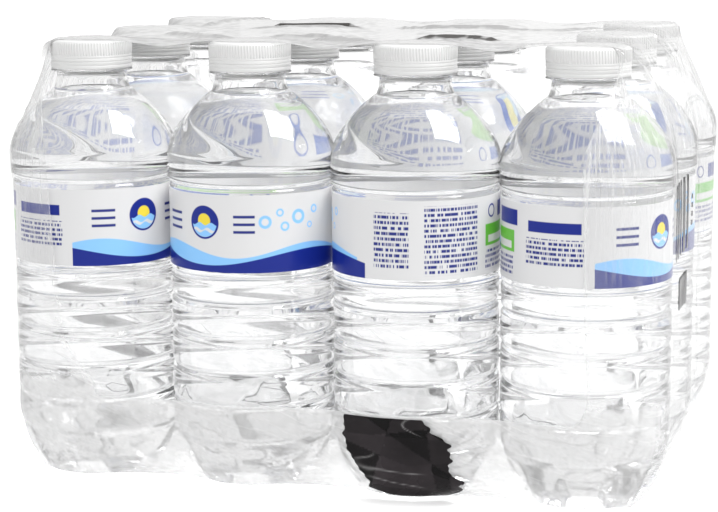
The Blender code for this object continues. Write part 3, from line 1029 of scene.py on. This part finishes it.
def sleeveLoops():  # from the front rim to the back one
    def atCorner(turn, reach, height):
        angle = math.radians(turn)
        return leftAxis + reach * math.cos(angle), frontAxis + reach * math.sin(angle), height

    roof = pack["capLevel"] / mm + sleeve["overCaps"]
    lefts = [[(x, sleeve["underRows"][0][0], z) for x, z in sleeve["leftRim"]]]
    lefts += [[atCorner(*spot) for spot in row] for row in sleeve["corner"]]
    for y, pull in sleeve["sideRows"]:
        lefts.append([(leftAxis - reach + pull, y, z) for reach, z in sleeve["side"]])
    loops = []
    for row, left in enumerate(lefts):
        right = [(-x, y, z) for x, y, z in left]
        places = scalloped(sleeve["flat"])
        if row == 0:
            right = [(x, left[0][1], z) for x, z in sleeve["rightRim"]]
            places[0], places[1], places[-1] = sleeve["flapEnds"]
        y, z, back, lift = sleeve["underRows"][row]
        under = [(x, y + back * valleyShare(x), z + lift * valleyShare(x)) for x in places]
        y, sag = sleeve["overRows"][row]
        over = []
        for x in scalloped(sleeve["capClear"]):
            over.append((x, y, roof - (sleeve["sag"] if valleyShare(x) == 1 else sag)))
        loops.append(left + over + right[::-1] + under[::-1])
    return np.array(loops + [[(x, -y, z) for x, y, z in loop] for loop in reversed(loops)])


def spread(points, axis, count, closed):  # more points along one axis, evenly by length
    if closed:
        points = np.concatenate([points, points.take([0], axis=axis)], axis=axis)
    lengths = np.linalg.norm(np.diff(points, axis=axis), axis=2).max(axis=1 - axis)
    places = np.concatenate([[0.0], np.cumsum(lengths)])
    wanted = np.linspace(0, places[-1], count + 1)
    if closed:
        wanted = wanted[:-1]
    index = np.clip(np.searchsorted(places, wanted, side="right") - 1, 0, len(lengths) - 1)
    share = (wanted - places[index]) / lengths[index]
    share = share[:, None, None] if axis == 0 else share[None, :, None]
    return points.take(index, axis=axis) * (1 - share) + points.take(index + 1, axis=axis) * share


def bottleLimit():  # heights and radii that the film stays outside
    outer = outerSection()[0]
    start = min(range(len(outer)), key=lambda index: (outer[index][1], -outer[index][0]))
    limit = []
    for radius, height in outer[start:]:
        if height < sleeve["neckFree"] and (not limit or height > limit[-1][1]):
            limit.append((radius, height))
    radii, heights = zip(*limit, *sleeve["capGuard"])
    return np.array(heights), np.array(radii)


def nearestAxis(value, count):  # of the bottles in a row or a column
    middle = (count - 1) / 2
    return (np.clip(np.round(value / sleeve["pitch"] + middle), 0, count - 1) - middle) * sleeve["pitch"]


def pushOut(points, limit, shift):  # keeps the film off bottles, caps and the floor
    foot, capTop = pack["footLevel"] / mm, pack["capLevel"] / mm
    x, y, z = points[..., 0], points[..., 1] - shift, points[..., 2]
    axisX, axisY = nearestAxis(x, pack["columns"]), nearestAxis(y, pack["rows"])
    alongX, alongY = x - axisX, y - axisY
    apart = np.maximum(np.hypot(alongX, alongY), 1e-6)
    allowed = np.interp(z - foot, *limit) + sleeve["clearance"]
    inside = (apart < allowed) & (z < capTop) & (z > foot)
    lifted = capTop + sleeve["clearance"]
    up = inside & (z > capTop - sleeve["capEdge"]) & (lifted - z < allowed - apart)
    grown = np.where(inside & ~up, allowed / apart, 1.0)
    points[..., 0] = axisX + alongX * grown
    points[..., 1] = axisY + alongY * grown + shift
    points[..., 2] = np.where(up, lifted, z)
    return points


def normalsOf(points):
    along = np.roll(points, -1, axis=1) - np.roll(points, 1, axis=1)
    normal = np.cross(along, np.gradient(points, axis=0))
    return normal / np.maximum(np.linalg.norm(normal, axis=2, keepdims=True), 1e-9)


def foldAt(x, y):  # lift, and the darkness of a painted shadow on the near side, where the loose top is folded over
    lift, shade = 0.0, 0.0
    swing, pace = sleeve["foldBend"]
    for startX, startY, endX, endY, half, dark, tall in sleeve["topFolds"]:
        alongX, alongY = endX - startX, endY - startY
        length = math.hypot(alongX, alongY)
        share = ((x - startX) * alongX + (y - startY) * alongY) / length ** 2
        if not 0 < share < 1:
            continue
        bend = swing * math.sin(share * pace + startX)
        across = ((y - startY) * alongX - (x - startX) * alongY) / length - bend
        taper = half * math.sqrt(math.sin(math.pi * share))
        if abs(across) < taper:
            lift = max(lift, tall * (taper / half) * (1 - abs(across) / taper))
            # painted shadow on the fold's near side
            if across < sleeve["foldShade"] * taper:
                shade = max(shade, dark)
    return lift, shade


def zoneAt(name, value):
    start, span = sleeve["zones"][name]
    return smoothStep((value - start) / span)


def noisePlace(rows, *values):  # each row has a share of every value, and a start
    return Vector([sum(share * value for share, value in zip(row, (*values, 1.0))) for row in rows])


def ridgeAt(spot, width):  # sharp crests along the zero lines of a noise
    return max(0.0, 1 - abs(noise.noise(spot)) / width) ** 2


def wrinkleAt(point, rimNear, shift):  # height, and the film's looks there
    x, y, z = point
    axisX, axisY = nearestAxis(x, pack["columns"]), nearestAxis(y - shift, pack["rows"])
    alongX, alongY = x - axisX, y - shift - axisY
    angle = math.atan2(alongY, alongX)
    cosine, sine = math.cos(angle), math.sin(angle)
    seed = sleeve["seed"] + axisX + axisY * sleeve["rowSeed"]

    def capRidge(kind, start):
        pace, climb, width = sleeve[kind]
        return ridgeAt(Vector((cosine * pace, sine * pace, start + z * climb)), width)

    def slantRidge(kind):
        rows, width = sleeve[kind]
        return ridgeAt(noisePlace(rows, x, y, z), width)

    wide, fine = capRidge("wide", seed), capRidge("fine", seed * sleeve["fineSeed"])
    cross, gather = slantRidge("cross"), slantRidge("gather")
    pace = sleeve["slack"]
    slack = max(noise.noise(Vector((x * pace, y * pace, z * pace + seed))), 0.0)
    fromCap = zoneAt("pastCap", math.hypot(alongX, alongY)) * zoneAt("overLabel", z)
    low = zoneAt("underDome", z) * zoneAt("offFloor", z)
    onFlap = zoneAt("front", y) * zoneAt("flapTall", z)
    onTop, rightEnd = zoneAt("top", z), zoneAt("rightEnd", x)
    tall = sleeve["heights"]
    height = fromCap * (tall["wide"] * wide + tall["fine"] * fine)
    height += low * (tall["cross"] * cross + tall["slack"] * slack) * (1 - sleeve["flapCalm"] * onFlap)
    height += rimNear * tall["gather"] * gather
    share, (topClear, shoulderClear) = sleeve["haze"], sleeve["rightClear"]
    haze = share["all"] + share["flap"] * onFlap + share["rim"] * rimNear + share["gather"] * rimNear * gather
    haze += share["wide"] * fromCap * wide + share["cross"] * low * cross + share["side"] * low * (1 - onFlap)
    clouded = share["top"] + share["topBehind"] * zoneAt("behind", y - shift)
    haze += onTop * clouded * (1 - topClear * rightEnd)
    haze += share["shoulder"] * zoneAt("shoulder", z) * (1 - onTop) * (1 - shoulderClear * rightEnd)
    # painted shade darkens the film on top and on the flap
    shade = sleeve["shade"][0] * onTop + sleeve["shade"][1] * onFlap
    # painted highlights: white streaks along the wrinkles' crests
    share = sleeve["streakHighlights"]
    streakHighlights = share["wide"] * fromCap * (1 - onTop) + share["top"] * onTop + share["rim"] * rimNear
    streakHighlights += share["low"] * low * (1 - sleeve["flapStreaks"] * onFlap)
    lift = 0.0
    if onTop > 0.5:
        # painted shadows of the folds on the top
        lift, dark = foldAt(x, y - shift)
        shade = max(shade, dark)
        flow = noisePlace(sleeve["topFlow"], x, y, z)
    elif z > sleeve["flowChange"]:
        pace, climb = sleeve["capFlow"]
        flow = (cosine * pace, sine * pace, seed + z * climb)
    else:
        flow = noisePlace(sleeve["sideFlow"], x, y, z)
    return height * sleeve["wrinkle"] + lift, (min(haze, sleeve["hazeMost"]), shade, streakHighlights), flow


def sheerMaterial():  # the film's inner side
    material, tree, shader = newMaterial("sheerFilm")
    tree.nodes.remove(shader)
    passing = addNode(tree, "ShaderNodeBsdfTransparent", {"Color": grey(sleeve["clear"])}).outputs[0]
    gloss = addNode(tree, "ShaderNodeBsdfGlossy", {"Roughness": sleeve["gloss"]}).outputs[0]
    coverWith(tree, blendShader(tree, sleeve["innerShine"], passing, gloss))
    return material


def filmMaterial():
    material, tree, shader = newMaterial("clearFilm")
    tree.nodes.remove(shader)
    inputs = {"Vector": ownPlace(tree), "Scale": sleeve["rippleStretch"]}
    stretched = addNode(tree, "ShaderNodeMapping", inputs)
    ripple = noiseOf(tree, stretched.outputs[0], *sleeve["ripple"])
    normal = bumpFrom(tree, ripple, *sleeve["rippleBump"])
    inputs = {"Roughness": sleeve["gloss"], "Normal": normal}
    gloss = addNode(tree, "ShaderNodeBsdfGlossy", inputs).outputs[0]
    edge = addNode(tree, "ShaderNodeLayerWeight", {"Normal": normal}).outputs["Facing"]
    steep, dense = (calc(tree, "POWER", edge, sleeve[power]) for power in ("steep", "dense"))
    tint = blendColour(tree, dense, grey(sleeve["clear"]), grey(sleeve["edgeOn"]))
    passing = addNode(tree, "ShaderNodeBsdfTransparent", {"Color": tint}).outputs[0]
    shine = blendShader(tree, calc(tree, "MULTIPLY_ADD", steep, *sleeve["shine"]), passing, gloss)
    # the haze's colour, darkened where the film has painted shade and painted fold shadows
    shade = attributeOf(tree, "shade")
    milkAndPaintedShade = blendColour(tree, shade, grey(sleeve["cloud"]), sleeve["paintedShadeColour"])
    cloud = addNode(tree, "ShaderNodeBsdfDiffuse", {"Color": milkAndPaintedShade}).outputs[0]
    # thin white lines along the flow, painted highlights of wrinkle crests, added to the haze
    flow = noiseOf(tree, attributeOf(tree, "flow", "Vector"), *sleeve["streakNoise"])
    away = calc(tree, "ABSOLUTE", calc(tree, "SUBTRACT", flow, 0.5))
    crisp = rampTo(tree, away, 0.0, sleeve["streakWidth"], 1.0, 0.0)
    lines = times(tree, crisp, attributeOf(tree, "streakHighlights"))
    patchy = times(tree, attributeOf(tree, "haze"), rampTo(tree, ripple, *sleeve["patchy"]))
    hazeAndHighlights = calc(tree, "MULTIPLY_ADD", lines, sleeve["streakFills"], patchy)
    filled = calc(tree, "MAXIMUM", hazeAndHighlights, rampTo(tree, shade, *sleeve["shadeFills"]))
    passLight(tree, blendShader(tree, filled, shine, cloud), grey(sleeve["passes"]))
    return material


def gridMesh(name, points, closed):  # quads over rows and columns of points, in millimetres
    rows, columns = points.shape[:2]
    faces = []
    for row in range(rows - 1):
        for column in range(columns if closed else columns - 1):
            following = (column + 1) % columns
            lower, upper = row * columns, (row + 1) * columns
            faces.append((lower + column, lower + following, upper + following, upper + column))
    mesh = bpy.data.meshes.new(name)
    mesh.from_pydata((points.reshape(-1, 3) * mm).tolist(), [], faces)
    mesh.shade_smooth()
    return mesh


def store(mesh, name, values):  # a number or a vector for each point of a grid
    kind, field = ("FLOAT", "value") if values.ndim == 2 else ("FLOAT_VECTOR", "vector")
    stored = mesh.attributes.new(name, kind, "POINT")
    stored.data.foreach_set(field, values.ravel().astype(np.float32))


def castOnto(carrier, start, toward):  # where a straight line meets a piece, in millimetres
    _, spot, _, _ = carrier.ray_cast([value * mm for value in start], toward)
    return [value / mm for value in spot]


def makeFilm():
    shift = bottleSpot("01").y / mm - frontAxis
    points = sleeveLoops()
    points[..., 1] += shift
    points = spread(points, 1, sleeve["round"], True)
    points = spread(points, 0, sleeve["deep"], False)
    onFloor = points[..., 2] < sleeve["onFloor"]
    limit = bottleLimit()
    for _ in range(sleeve["rimRounds"]):
        for row in (0, -1):
            rim = points[row]
            points[row] = (np.roll(rim, 1, axis=0) + 2 * rim + np.roll(rim, -1, axis=0)) / 4
    for _ in range(sleeve["rounds"]):
        middle = (np.roll(points, 1, axis=1) + np.roll(points, -1, axis=1))[1:-1] + points[:-2] + points[2:]
        points[1:-1] += sleeve["pull"] * (middle / 4 - points[1:-1])
        heights = np.maximum(points[..., 2], sleeve["lowest"])
        points[..., 2] = np.where(onFloor, sleeve["floorGap"], heights)
        points = pushOut(points, limit, shift)
    normals = normalsOf(points)
    ends = np.minimum(*(np.linalg.norm(points - rim, axis=2) for rim in (points[:1], points[-1:])))
    looks, flows = np.zeros(points.shape), np.zeros(points.shape)
    for spot in np.ndindex(*onFloor.shape):
        rimNear = math.exp(-ends[spot] / sleeve["rimReach"])
        height, looks[spot], flows[spot] = wrinkleAt(points[spot], rimNear, shift)
        if not onFloor[spot]:
            points[spot] += normals[spot] * height
    points[..., 2] = np.clip(points[..., 2], sleeve["lowest"], cadBox[1][2] / mm - sleeve["thickness"])
    mesh = gridMesh("film", pushOut(points, limit, shift), True)
    for index, name in enumerate(("haze", "shade", "streakHighlights")):
        store(mesh, name, looks[..., index])
    store(mesh, "flow", flows)
    mesh.materials.append(filmMaterial())
    mesh.materials.append(sheerMaterial())
    thing = settle("film", mesh, "clear_film", "film_sleeve", thickness=sleeve["thickness"], lining=1)
    print("film: the sleeve is shrunk on")
    return thing


# Patch: a dark print on the front flap, crumpled where the film shrank

patch = {
    # height, left edge and right edge
    "edges": [
        (2.2, 30.0, 52.0), (4.5, 21.7, 57.7), (9.0, 21.2, 60.0), (14.0, 18.0, 54.8),
        (20.0, 14.5, 55.5), (25.0, 13.4, 55.8), (30.0, 13.2, 49.2), (35.2, 13.1, 44.5),
    ],
    "rows": 60,
    "columns": 64,
    "lift": 0.25,
    "thickness": 0.12,
    "ragged": 2.2,
    "raggedEdges": ((0.35, 1.0), (0.45, 8.0)),  # how fast and from where each edge's noise runs
    "folds": 11,
    "depth": 1.9,
    "seed": 5,
    "upright": (-0.35, 0.35),  # radians, of every fourth fold, and then of the others
    "leaning": (0.75, 1.80),
    "middles": (16, 58, 4, 34),  # range of the folds' middles, across and up
    # how fast the painted light and shade changes from facet to facet
    "facets": 5.0,
    "creaseWhite": 0.34,
    "creaseWidth": 0.05,
    # shares of x and z and the start in the noise of creases, three times, and in that of where they show
    "creaseRun": ((0.03, 0.02, 0.0), (0.0, 0.11, 0.0), (0.0, 0.0, 5.0)),
    "creaseSpots": ((0.06, 0.0, 0.0), (0.0, 0.06, 0.0), (0.0, 0.0, 3.0)),
    "creaseSpread": (3.0, 0.3),
    "castFrom": -200,
    "tone": (60.0, 3.0),
    # dark inks; between them lie the print's tone and the painted light and shade of each facet
    "inks": ((0.0012, 0.0009, 0.0010, 1), (0.046, 0.038, 0.042, 1)),
    "creasePale": (0.45, 0.44, 0.44, 1),
    "roughness": (0.3, 0.7, 0.16, 0.30),
    "grain": (420.0, 3.0),
    "grainBump": (0.15, 0.0008),
    "finish": {"Specular IOR Level": 0.10},
}


def patchFolds():
    draw = random.Random(patch["seed"])
    left, right, low, top = patch["middles"]
    folds = []
    for number in range(patch["folds"]):
        angle = draw.uniform(*patch["leaning" if number % 4 else "upright"])
        middle = Vector((draw.uniform(left, right), draw.uniform(low, top)))
        folds.append((math.cos(angle), math.sin(angle), middle, draw.uniform(-1, 1)))
    return folds


def patchMaterial():
    material, tree, shader = newMaterial("darkPrint", patch["finish"])
    where = ownPlace(tree)
    tone = noiseOf(tree, where, *patch["tone"])
    # each facet lighter or darker: painted light and shade, times the print's random tone
    ink = blendColour(tree, times(tree, attributeOf(tree, "facetShade"), tone), *patch["inks"])
    # pale grey along the creases
    creasePale = blendColour(tree, attributeOf(tree, "crease"), ink, patch["creasePale"])
    feed(tree, shader.inputs["Base Color"], creasePale)
    feed(tree, shader.inputs["Roughness"], rampTo(tree, tone, *patch["roughness"]))
    grain = noiseOf(tree, where, *patch["grain"])
    feed(tree, shader.inputs["Normal"], bumpFrom(tree, grain, *patch["grainBump"]))
    return material


def makePatch(film):
    carrier = film.evaluated_get(bpy.context.evaluated_depsgraph_get())
    folds = patchFolds()
    gain, base = patch["creaseSpread"]
    heights, *edges = (np.array(values) for values in zip(*patch["edges"]))
    rows, columns = patch["rows"], patch["columns"]
    places = np.zeros((rows + 1, columns + 1, 3))
    raised, crease, facetShade = (np.zeros((rows + 1, columns + 1)) for _ in range(3))
    for row in range(rows + 1):
        z = heights[0] + (heights[-1] - heights[0]) * row / rows
        left, right = (
            np.interp(z, heights, edge) + patch["ragged"] * noise.noise(Vector((z * pace, start, 0.0)))
            for edge, (pace, start) in zip(edges, patch["raggedEdges"])
        )
        for column in range(columns + 1):
            x = left + (right - left) * column / columns
            places[row, column] = x, castOnto(carrier, (x, patch["castFrom"], z), (0, 1, 0))[1], z
            sides = 0.0
            for cosine, sine, middle, height in folds:
                across = (x - middle.x) * cosine + (z - middle.y) * sine
                raised[row, column] += height * abs(across)
                sides += math.copysign(height, across)
            # painted light and shade, one tone for each facet
            facetShade[row, column] = 0.5 + 0.5 * math.sin(patch["facets"] * sides)
            partial = smoothStep(noise.noise(noisePlace(patch["creaseSpots"], x, z)) * gain + base)
            ridge = ridgeAt(noisePlace(patch["creaseRun"], x, z), patch["creaseWidth"])
            crease[row, column] = patch["creaseWhite"] * partial * ridge
    raised = (raised - raised.min()) / (raised.max() - raised.min())
    places[..., 1] -= patch["lift"] + patch["depth"] * (1 - raised)
    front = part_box("film_patch")[0].y / mm + patch["thickness"]
    places[..., 1] = np.maximum(places[..., 1], front)
    mesh = gridMesh("patch", places, False)
    store(mesh, "crease", crease)
    store(mesh, "facetShade", facetShade)
    mesh.materials.append(patchMaterial())
    settle("patch", mesh, "dark_print", "film_patch", thickness=patch["thickness"])
    print("patch: laid on the flap")


# Prints: plain bars, a tab and dots on the film's right end

prints = {
    # middle and half sizes, along the end and up
    "marks": (
        [(-53.0 + 8.4 * step, 107.0, 2.6 if step % 2 else 1.7, 15.0) for step in range(5)]
        + [(-30.0, 76.5, 11.0, 6.5)]
        + [(-9.0, 101.0 + 3.6 * step, 1.0, 1.0) for step in range(4)]
    ),
    "steps": 10,
    "lift": 0.16,
    "thickness": 0.05,
    "castFrom": 300,
}


def makePrints(film):
    carrier = film.evaluated_get(bpy.context.evaluated_depsgraph_get())
    steps = prints["steps"]
    builder = bmesh.new()
    for along, up, halfAlong, halfUp in prints["marks"]:
        places = np.zeros((steps + 1, steps + 1, 3))
        for row, column in np.ndindex(steps + 1, steps + 1):
            y, z = along + halfAlong * (2 * column / steps - 1), up + halfUp * (2 * row / steps - 1)
            x = castOnto(carrier, (prints["castFrom"], y, z), (-1, 0, 0))[0]
            places[row, column] = x + prints["lift"], y, z
        part = gridMesh("mark", places, False)
        builder.from_mesh(part)
        bpy.data.meshes.remove(part)
    mesh = bpy.data.meshes.new("prints")
    builder.to_mesh(mesh)
    builder.free()
    mesh.shade_smooth()
    mesh.materials.append(patchMaterial())
    settle("prints", mesh, "dark_print", thickness=prints["thickness"], outward=0.0)
    print("prints: marks on the right end")


makeStage()
makeBottles()
film = makeFilm()
makePatch(film)
makePrints(film)
